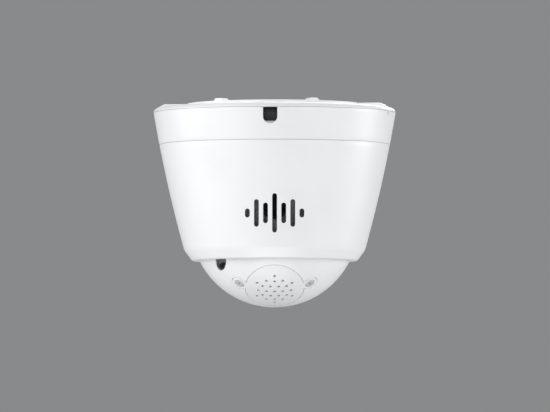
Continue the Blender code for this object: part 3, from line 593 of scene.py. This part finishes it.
def base_shell(looks):
    """Round plate with a small middle boss, two sloping lugs, edge pads, the rim and the bayonet's skirt."""
    groove_floor = RIM_RADIUS - GROOVE_DEPTH
    groove_foot = WALL_TOP + 0.04
    outline = fillet([
        (0, 0), (8.0, 0, 0.2), (8.4, PLATE_TOP), (PLATE_RADIUS, PLATE_TOP, 0.3), (PLATE_RADIUS, FLANGE_TOP),
        (60.9, FLANGE_TOP, 1.2), (62.6, -4.0, 1.4), (RIM_RADIUS, -5.4, 0.6),
        (RIM_RADIUS, FLANGE_BOTTOM, 0.12), (groove_floor, FLANGE_BOTTOM), (groove_floor, groove_foot),
        (61.5, groove_foot), (61.0, FLANGE_BOTTOM), (SKIRT_RADIUS, FLANGE_BOTTOM),
        (SKIRT_RADIUS, SKIRT_BOTTOM, 0.3), (SKIRT_INSIDE, SKIRT_BOTTOM, 0.3), (SKIRT_INSIDE, FLANGE_BOTTOM),
        (FLANGE_INSIDE, FLANGE_BOTTOM, 0.3), (FLANGE_INSIDE, PLATE_BOTTOM), (0, PLATE_BOTTOM)])
    base = turned("base_shell", outline, FINE_STEPS)
    added = []
    for angle, foot in LUG_FEET.items():
        slope = fillet([(LUG_START, LUG_TOP), (LUG_SHOULDER, LUG_TOP, 1.2), foot, (foot[0], LUG_BOTTOM),
                        (LUG_START, LUG_BOTTOM)])
        added.append(turn(prism("lug", slope, -LUG_HALF_WIDTH, LUG_HALF_WIDTH, "Y"), PLATE_TURN + angle))
    for angle in EDGE_PAD_ANGLES:
        corners = [(-EDGE_PAD_HALF_FOOT, -EDGE_PAD_DEPTH), (EDGE_PAD_HALF_FOOT, -EDGE_PAD_DEPTH),
                   (EDGE_PAD_HALF_TOP, 0), (-EDGE_PAD_HALF_TOP, 0)]
        added.append(turn(prism("pad", corners, *EDGE_PAD_REACH, "Y"), PLATE_TURN + angle))
    added += bayonet_tabs("catch", 57.2, 54.0, SKIRT_BOTTOM + 0.2, -12.5)
    join(base, added)
    holes = [shift(rod("hole", CABLE_HOLE_RADIUS, -10, 5, 64), *CABLE_HOLE)]
    for angle in (45, 135, 225, 315):
        place = polar(MOUNT_CIRCLE, angle + PLATE_TURN)
        holes.append(shift(rod("hole", MOUNT_HOLE_RADIUS, -10, 5, 32), *place))
        sink = turned("sink", [(0, -2.7), (2.4, -2.7), (4.4, -1.2), (4.4, 1), (0, 1)], 32)
        holes.append(shift(sink, *place))
    cut(base, holes)
    soften(base, 0.12)
    return show(base, looks["white"], "base", "mounting_base")


def notch_outline(margin):
    """Upright notch with rounded lower corners, open at the top."""
    half = NOTCH_WIDTH / 2 + margin
    corner = NOTCH_CORNER + margin
    low = NOTCH_BOTTOM - margin + corner
    outline = [(NOTCH_X + half, 0), (NOTCH_X - half, 0)]
    outline += arc(corner, 180, 270, 10, (NOTCH_X - half + corner, low))
    return outline + arc(corner, 270, 360, 10, (NOTCH_X + half - corner, low))


def collar_shell(looks):
    """Ring below the rim, with the cable notch and the slit."""
    bottom = SEAM_HEIGHT + GAP / 2
    outline = wall_points(WALL_TOP, bottom, 8)
    outline += [(COLLAR_FLOOR_INSIDE, bottom), (COLLAR_FLOOR_INSIDE, COLLAR_FLOOR_TOP)]
    outline += wall_points(COLLAR_FLOOR_TOP, WALL_TOP, 4, COLLAR_THICKNESS)
    collar = turned("collar_shell", outline, FINE_STEPS)
    join(collar, bayonet_tabs("tab", 61.2, 55.4, -12.2, -10.0))
    half, beyond = SLIT_WIDTH / 2, 66
    slit = prism("slit", [(SLIT_FLOOR, -half), (beyond, -half), (beyond, half), (SLIT_FLOOR, half)],
                 SLIT_BOTTOM, -2)
    cuts = [prism("notch", notch_outline(0), -70, -57, "Y"), turn(slit, SLIT_ANGLE)]
    for angle in COLLAR_SCREW_ANGLES:
        hole = rod("hole", PILOT_RADIUS, -25, -15, HOLE_STEPS)
        cuts.append(shift(hole, *polar(COLLAR_SCREW_CIRCLE, angle)))
    cut(collar, cuts)
    soften(collar, 0.14)
    return show(collar, looks["white"], "housing", "upper_collar")


def notch_shade_piece(looks):
    """Grey piece at the bottom of the notch, below the plug's nose; its grey is painted shade on the notch's
    floor.
    """
    notch_shade_grey = prism("notch_shade_piece", notch_outline(0.1), -60.6, -58.6, "Y")
    left, right = NOTCH_X - 6, NOTCH_X + 6
    above = [(left, LEDGE_TOP), (right, LEDGE_TOP), (right, 1), (left, 1)]
    cut(notch_shade_grey, [prism("opening", above, -62, -57, "Y")])
    return show(notch_shade_grey, looks["notch_shade_grey"], "housing", slot="grey_gasket")


def entry_plug(looks):
    """Rubber plug behind the notch, with a nose that leans back at the top."""
    left, right = NOTCH_X - PLUG_HALF_WIDTH, NOTCH_X + PLUG_HALF_WIDTH
    body = fillet([(left, PLUG_TOP, 0.8), (right, PLUG_TOP, 0.8), (right, PLUG_BOTTOM, 1.5),
                   (left, PLUG_BOTTOM, 1.5)])
    plug = prism("entry_plug", body, -58.1, -56.2, "Y")
    nose = prism("nose", notch_outline(-0.15), -61.0, -57.5, "Y")
    foot = LEDGE_TOP + 0.1
    profile = [(-57.0, -6.25), (-58.7, -6.25), (-60.3, -9.0), (-59.4, foot), (-57.0, foot)]
    combine(nose, [prism("lean", profile, NOTCH_X - 6, NOTCH_X + 6, "X")], "INTERSECT")
    join(plug, [nose])
    soften(plug, 0.15)
    return show(plug, looks["rubber"], "housing", "side_entry_plug", slot="black_rubber")


def stadium(width, length, centre, steps=12):
    """Upright slot outline with round ends."""
    radius = width / 2
    reach = length / 2 - radius
    top = arc(radius, 0, 180, steps, (centre[0], centre[1] + reach))
    return top + arc(radius, 180, 360, steps, (centre[0], centre[1] - reach))


def cone_shell(looks):
    """Tapered shell with the sound slots, the bevelled lip and a tongue that floors the seam's groove."""
    top = SEAM_HEIGHT - GAP / 2
    tongue_top = SEAM_HEIGHT + GAP / 2 - 0.02
    tongue = wall_radius(tongue_top) - TONGUE_DEPTH
    corners = [(tongue, top), (tongue, tongue_top), (wall_radius(tongue_top) - GROOVE_DEPTH, tongue_top),
               (wall_radius(top) - GROOVE_DEPTH, top)]
    corners += wall_points(top, WALL_FOOT + 3.8, 16)
    corners += [(WALL_FOOT_RADIUS, WALL_FOOT, 9.0), (43.6, -83.2, 0.9), (42.6, LIP_BOTTOM, 0.5),
                (41.0, LIP_BOTTOM, 0.5), (40.2, -83.2, 0.4), (41.6, -80.5), (43.9, -80.5), (44.9, -78.6)]
    corners += wall_points(-78.0, top, 12, CONE_THICKNESS)
    cone = turned("cone_shell_fine", fillet(corners, 6), FINE_STEPS)
    added = []
    cuts = []
    for circle, angles, boss, hole in (
            (COLLAR_SCREW_CIRCLE, COLLAR_SCREW_ANGLES, (-30, top - 0.2), (-29, -15)),
            (CLAMP_SCREW_CIRCLE, CLAMP_SCREW_ANGLES, (-49.5, -43.5), (-48.7, -40))):
        for angle in angles:
            place = polar(circle, angle)
            added.append(shift(rod("boss", BOSS_RADIUS, *boss, 34), *place))
            cuts.append(shift(rod("hole", PILOT_RADIUS, *hole, HOLE_STEPS), *place))
    join(cone, added)
    for index in range(-3, 4):
        slot = stadium(SLOT_WIDTH, SLOT_LENGTHS[abs(index)], (index * SLOT_PITCH, SLOT_HEIGHT))
        cuts.append(prism("slot", slot, -62, -40, "Y"))
    cut(cone, cuts)
    soften(cone, 0.13)
    return show(cone, looks["white"], "housing", "cone_shell")


# ---------------------------------------------------------------- ball
# In the ball's own frame the origin is its centre, the lens looks along -Z and the cable bush leaves
# along +Z.

def ball_matrix():
    """From the ball's own frame to the frame of the model."""
    return Matrix.Translation((0, 0, BALL_HEIGHT * MM)) @ Matrix.Rotation(math.radians(LENS_ANGLE), 4, "X")


def cover_matrix():
    """Frame of the grille cover inside the ball: +Z outwards, +Y up the cover."""
    return Matrix.Rotation(math.radians(180 - COVER_FROM_LENS), 4, "X")


def ear_matrix(side):
    """Frame of a cover ear inside the cover's frame: +Z outwards through the ear."""
    x, y = EAR_PLACE
    return aim(Vector((side * x, y, math.sqrt(BALL_RADIUS ** 2 - x ** 2 - y ** 2))))


def well_matrix():
    """Frame of the well inside the ball: +Z outwards along its slot, +Y up the slot."""
    across = Vector((0, 0, 1)).cross(WELL_AXIS).normalized()
    upwards = WELL_AXIS.cross(across)
    place = Matrix((across, upwards, WELL_AXIS)).transposed().to_4x4()
    place.translation = WELL_PLACE * MM
    return Matrix.Rotation(math.radians(-LENS_ANGLE), 4, "X") @ place


def shell_cap(name, inner, outer, half_angle):
    """Cap of a spherical shell round +Z, out to a half angle from the pole."""
    outline = [(radius, height) for height, radius in arc(outer, 0, half_angle, 20)]
    outline += [(radius, height) for height, radius in arc(inner, half_angle, 0, 20)]
    outline[0] = (0, outer)
    outline[-1] = (0, inner)
    return turned(name, outline, MEDIUM_STEPS)


def cover_footprint(name, growth, low, high):
    """Oval with two ears, grown outwards, along the cover's axis."""
    width, height = COVER_HALF_WIDTH + growth, COVER_HALF_HEIGHT + growth
    shape = move(rod(name, width, low, high, 120), Matrix.Diagonal((1, height / width, 1, 1)))
    ears = [move(rod("ear", EAR_RADIUS + growth, low, high + 3, 44), ear_matrix(side)) for side in (-1, 1)]
    return join(shape, ears)


def ball_shell(looks):
    """White ball with the cover's rebate and the lock screw's well."""
    start = SEAM_FROM_LENS + 0.2
    outer_end = 180 - math.degrees(math.asin(BUSH_HOLE / BALL_RADIUS))
    inner_end = 180 - math.degrees(math.asin(BUSH_HOLE / BALL_INSIDE))
    outline = [(radius, -height) for height, radius in arc(BALL_RADIUS, start, outer_end, 72)]
    outline += [(radius, -height) for height, radius in arc(BALL_INSIDE, inner_end, start, 24)]
    shell = turned("ball_shell", outline, FINE_STEPS)
    pocket = cover_footprint("pocket", 2.2, 30, 50)
    combine(pocket, [shell_cap("band", 39.0, 43.4, 38)], "INTERSECT")
    rebate = cover_footprint("rebate", GAP, 30, 50)
    combine(rebate, [shell_cap("band", 41.0, 48, 38)], "INTERSECT")
    added = [move(pocket, cover_matrix())]
    removed = [move(rebate, cover_matrix()), move(rod("opening", 13.4, 30, 50, 80), cover_matrix())]
    for side in (-1, 1):
        place = cover_matrix() @ ear_matrix(side)
        added.append(move(rod("boss", 3.4, 36.5, 40, 30), place))
        removed.append(move(rod("pilot", 1.4, 37.2, 50, HOLE_STEPS), place))
    outline = stadium(WELL_WIDTH + 2 * WELL_WALL, WELL_LENGTH + 2 * WELL_WALL, WELL_CENTRE, 15)
    boss = move(prism("boss", outline, WELL_FLOOR - WELL_WALL, 7.0), well_matrix())
    band = move(shell_cap("band", 30.0, 43.4, 30), aim(well_matrix().translation))
    added.append(combine(boss, [band], "INTERSECT"))
    outline = stadium(LINER_OUTER_WIDTH, WELL_LENGTH, WELL_CENTRE, 20)
    slot = prism("well", outline, WELL_FLOOR, 11.0)
    removed.append(move(slot, well_matrix()))
    join(shell, added)
    cut(shell, removed)
    soften(shell, 0.12)
    move(shell, ball_matrix())
    return show(shell, looks["ball"], "ball", "ball_rear_shell")


def well_shade_sleeve(looks):
    """Grey sleeve in the lock screw's well, just below the ball's surface; its grey is painted shade on the well's
    walls.
    """
    outline = stadium(LINER_OUTER_WIDTH, WELL_LENGTH, WELL_CENTRE, 20)
    well_shade_grey = prism("well_shade_sleeve", outline, WELL_FLOOR, 12.0)
    inside = stadium(LINER_INNER_WIDTH, WELL_LENGTH - 2 * LINER_WALL, WELL_CENTRE, 20)
    cut(well_shade_grey, [prism("inside", inside, WELL_FLOOR - 1, 13.0)])
    band = move(shell_cap("band", 30.0, BALL_RADIUS - 0.15, 30), aim(well_matrix().translation))
    move(well_shade_grey, well_matrix())
    combine(well_shade_grey, [band], "INTERSECT")
    move(well_shade_grey, ball_matrix())
    return show(well_shade_grey, looks["well_shade_grey"], "ball", slot="grey_gasket")


def grille_cover(looks):
    """Flush cover with the sound holes and two ears with counterbores."""
    cover = cover_footprint("grille_cover_fine", 0, 30, 50)
    combine(cover, [shell_cap("band", 42.2, BALL_RADIUS, 34)], "INTERSECT")
    cuts = []
    for side in (-1, 1):
        cuts.append(move(rod("recess", 2.6, EAR_RECESS_FLOOR, 50, 48), ear_matrix(side)))
        cuts.append(move(rod("hole", 1.4, 40, 50, HOLE_STEPS), ear_matrix(side)))
    places = [(0, 0)]
    for radius, start in GRILLE_RINGS:
        places += [polar(radius, start + 60 * index) for index in range(6)]
    for x, y in places:
        cuts.append(shift(rod("hole", GRILLE_HOLE_RADIUS, 35, 50, HOLE_STEPS), x, y * GRILLE_STRETCH))
    cut(cover, cuts)
    soften(cover, 0.1)
    move(cover, ball_matrix() @ cover_matrix())
    return show(cover, looks["cover"], "ball", "grille_cover")


def cross_screw(name, head_radius, head_height, shank_radius, length):
    """Pan-head screw with a cross recess; the underside of its head is at height 0."""
    outline = fillet([(0, head_height), (head_radius, head_height, head_height * 0.6), (head_radius, 0, 0.1),
                      (shank_radius, 0), (shank_radius, -length, 0.3), (0, -length)])
    screw = turned(name, outline, 48)
    wide, narrow = head_radius * 0.62, head_radius * 0.2
    above, floor = head_height + 0.5, -0.35
    wing = [(-wide, above), (-narrow, floor), (narrow, floor), (wide, above)]
    return cut(screw, [turn(prism("arm", wing, -0.24, 0.24, "Y"), angle) for angle in (0, 90)])


def ball_screws(looks):
    """Two screws in the cover's ears and the lock screw in its well."""
    for number, side in enumerate((-1, 1), 1):
        screw = cross_screw(f"cover_screw_{number}_fine", 2.3, 0.75, 1.1, 5.4)
        shift(screw, z=EAR_SCREW_SEAT)
        move(screw, ball_matrix() @ cover_matrix() @ ear_matrix(side))
        show(screw, looks["lacquer"], "ball", f"cover_screw_{number}", slot="screw_steel")
    lock = turned("lock_screw_fine", fillet([(0, 0), (2.4, 0), (2.4, 2.0, 0.3), (0, 2.0)]), 64)
    cut(lock, [prism("socket", [polar(1.3, 60 * index) for index in range(6)], 0.9, 3)])
    soften(lock, 0.08)
    shift(lock, z=WELL_FLOOR + GAP)
    move(lock, ball_matrix() @ well_matrix())
    show(lock, looks["dark"], "lock", "lock_screw", slot="screw_steel")


def front_bezel(looks):
    """White ring round the window."""
    seam = SEAM_FROM_LENS - 0.2
    face = -BALL_RADIUS * math.cos(math.radians(FACE_FROM_LENS))
    outline = [(radius, -height) for height, radius in arc(BALL_RADIUS, seam, FACE_FROM_LENS + 0.6, 8)]
    outline += fillet([(24.0, face, 0.3), (22.2, face, 0.25), (21.8, face + 0.6), (21.8, -33.0),
                       (20.2, -33.0), (20.2, -31.8), (22.2, -31.8), (22.2, -28.0), (24.3, -28.0),
                       (24.3, -32.6)])
    bezel = turned("front_bezel_fine", outline, FINE_STEPS)
    move(bezel, ball_matrix())
    return show(bezel, looks["ball"], "ball", "front_bezel")


def front_window(looks):
    """Smoked window with a chamfered edge."""
    outline = fillet([(0, -36.6), (21.5, -36.6, 0.35), (21.5, -34.6), (0, -34.6)])
    window = move(turned("front_window_fine", outline, FINE_STEPS), ball_matrix())
    return show(window, looks["window"], "ball", "front_window", slot="dark_window")


def front_mask(looks):
    """Black plate behind the window, with a stepped collar round the lens and openings for the LEDs."""
    outline = fillet([(8.2, -34.3), (8.9, -34.3), (9.4, -34.0), (14.0, -34.0), (21.4, -34.0), (21.4, -33.3),
                      (8.2, -33.3)])
    mask = turned("front_mask_fine", outline, MEDIUM_STEPS)
    holes = []
    for radius, x, y in LEDS.values():
        funnel = [(0, -36), (radius + 1.0, -36), (radius + 0.5, -33.6), (radius + 0.5, -30), (0, -30)]
        holes.append(shift(turned("hole", funnel, 48), x, y))
    cut(mask, holes)
    soften(mask, 0.08)
    move(mask, ball_matrix())
    return show(mask, looks["dark"], "ball", "front_mask", slot="black_plastic")


def leds(looks):
    """Round LEDs with a domed lens."""
    for name, (radius, x, y) in LEDS.items():
        outline = [(0, 0), (radius, 0), (radius, -0.9)]
        outline += [(across, -0.9 - 0.6 * along) for across, along in arc(radius - 0.2, 0, 90, 12)]
        outline[-1] = (0, outline[-1][1])
        led = shift(turned(name + "_fine", outline, SMALL_STEPS), x, y, -31.8)
        move(led, ball_matrix())
        white = name.startswith("white")
        show(led, looks["white_led" if white else "infrared_led"], "ball", name,
             slot="clear_led" if white else "dark_led")


def lens(looks):
    """Barrel with grip rings and a stepped throat, and the domed front element."""
    outline = [(3.5, -20.3), (6.2, -20.3), (6.2, -25.8), (BARREL_RADIUS, -25.8)]
    for ring in range(5):
        height = -27.0 - 1.1 * ring
        outline += [(BARREL_RADIUS, height), (7.5, height - 0.15), (7.5, height - 0.45),
                    (BARREL_RADIUS, height - 0.6)]
    outline += fillet([(BARREL_RADIUS, -33.9, 0.35), (6.35, -33.9, 0.15), (6.2, -32.6), (5.4, -32.5),
                       (5.2, -31.6), (4.4, -31.4), (4.2, -30.2), (3.5, -30.0)])
    barrel = move(turned("lens_barrel_fine", outline, MEDIUM_STEPS), ball_matrix())
    show(barrel, looks["dark"], "ball", "lens_barrel", slot="black_plastic")
    rim = math.degrees(math.asin(GLASS_RADIUS / GLASS_DOME))
    outline = [(0, -32.9), (GLASS_RADIUS, -32.9)]
    outline += [(radius, GLASS_TOP + GLASS_DOME - height)
                for height, radius in arc(GLASS_DOME, rim, 0, 12)]
    outline[-1] = (0, GLASS_TOP)
    glass = move(turned("lens_front_glass_fine", outline, MEDIUM_STEPS), ball_matrix())
    show(glass, looks["lens"], "ball", "lens_front_glass", slot="lens_glass")


# ---------------------------------------------------------------- carried-over nodes

def dress_cad_nodes(looks):
    """Give every node that keeps its CAD shape the finish of its material slot."""
    by_slot = {
        "white_shell": "white", "black_rubber": "rubber", "grey_gasket": "foam",
        "black_plastic": "dark", "speaker_paper": "paper", "bearing_plastic": "bearing",
        "zinc_plate": "zinc", "screw_steel": "steel", "bare_aluminium": "aluminium",
        "circuit_board": "board", "dark_window": "window", "lens_glass": "lens",
        "clear_led": "white_led", "dark_led": "infrared_led", "red_button": "red",
    }
    for subpart in frame["record"]["subparts"]:
        obj = frame["nodes"][subpart["node"]]
        look = looks[by_slot[subpart["material_slot"]]]
        for place in obj.material_slots:
            place.material = look
        if not obj.material_slots:
            obj.data.materials.append(look)


# ---------------------------------------------------------------- studio

def camera():
    """Long lens on the side of the sound slots, a little below the object."""
    data = bpy.data.cameras.new("camera")
    data.lens = CAMERA_LENS
    data.sensor_width = 36
    data.clip_start = 0.1
    data.clip_end = 60
    obj = bpy.data.objects.new("camera", data)
    bpy.context.scene.collection.objects.link(obj)
    rise = math.radians(CAMERA_ELEVATION)
    back = Vector((0, -math.cos(rise), math.sin(rise)))
    obj.location = CAMERA_TARGET + back * CAMERA_DISTANCE
    obj.rotation_euler = (-back).to_track_quat("-Z", "Y").to_euler()
    bpy.context.scene.camera = obj


def softbox(name, azimuth, elevation, distance, size, power):
    """Square area light aimed at the object; azimuth 0 is in front (-Y), positive to the right."""
    data = bpy.data.lights.new(name, "AREA")
    data.shape = "SQUARE"
    data.size = size
    data.energy = power
    obj = bpy.data.objects.new(name, data)
    bpy.context.scene.collection.objects.link(obj)
    turned_by, rise = math.radians(azimuth), math.radians(elevation)
    level = math.cos(rise)
    direction = Vector((math.sin(turned_by) * level, -math.cos(turned_by) * level, math.sin(rise)))
    obj.location = LIGHT_TARGET + direction * distance
    obj.rotation_euler = (-direction).to_track_quat("-Z", "Y").to_euler()


def studio():
    """Pale floor far below, soft lights and an even grey surround."""
    world = bpy.data.worlds.new("surround")
    world.use_nodes = True
    background = world.node_tree.nodes["Background"]
    background.inputs["Color"].default_value = SURROUND
    background.inputs["Strength"].default_value = 1.0
    bpy.context.scene.world = world
    softbox("key", -38, 22, 2.6, 1.8, 35)
    softbox("left", -88, 5, 2.6, 1.4, 28)
    softbox("front", 35, 10, 2.6, 1.8, 18)
    softbox("right", 97, 5, 2.6, 1.4, 35)
    softbox("low", 0, -70, 2.2, 1.6, 28)
    softbox("back", 165, 30, 2.8, 1.8, 36)
    bpy.context.scene.view_settings.view_transform = "Standard"
    bm = bmesh.new()
    bmesh.ops.create_grid(bm, x_segments=1, y_segments=1, size=FLOOR_HALF_SIZE)
    floor = make_object("floor", bm)
    floor.location.z = FLOOR_HEIGHT
    pale = Finish("floor_paint", (0.50, 0.50, 0.49), 0.7)
    pale.tint(pale.span(pale.noise(1.6, 3.0), 0.3, 0.7, 0, 1), (0.49, 0.49, 0.48), (0.52, 0.52, 0.51))
    pale.relief(pale.noise(240.0), 0.0004, 0.4)
    floor.data.materials.append(pale.material)


# ---------------------------------------------------------------- all of it

def main():
    """Looks, camera and lights first, then every piece that stands for a CAD node or is added to it."""
    looks = make_looks()
    camera()
    studio()
    dress_cad_nodes(looks)
    for make in (base_shell, collar_shell, notch_shade_piece, entry_plug, cone_shell, ball_shell, well_shade_sleeve,
                 grille_cover, ball_screws, front_bezel, front_window, front_mask, leds, lens):
        make(looks)


main()
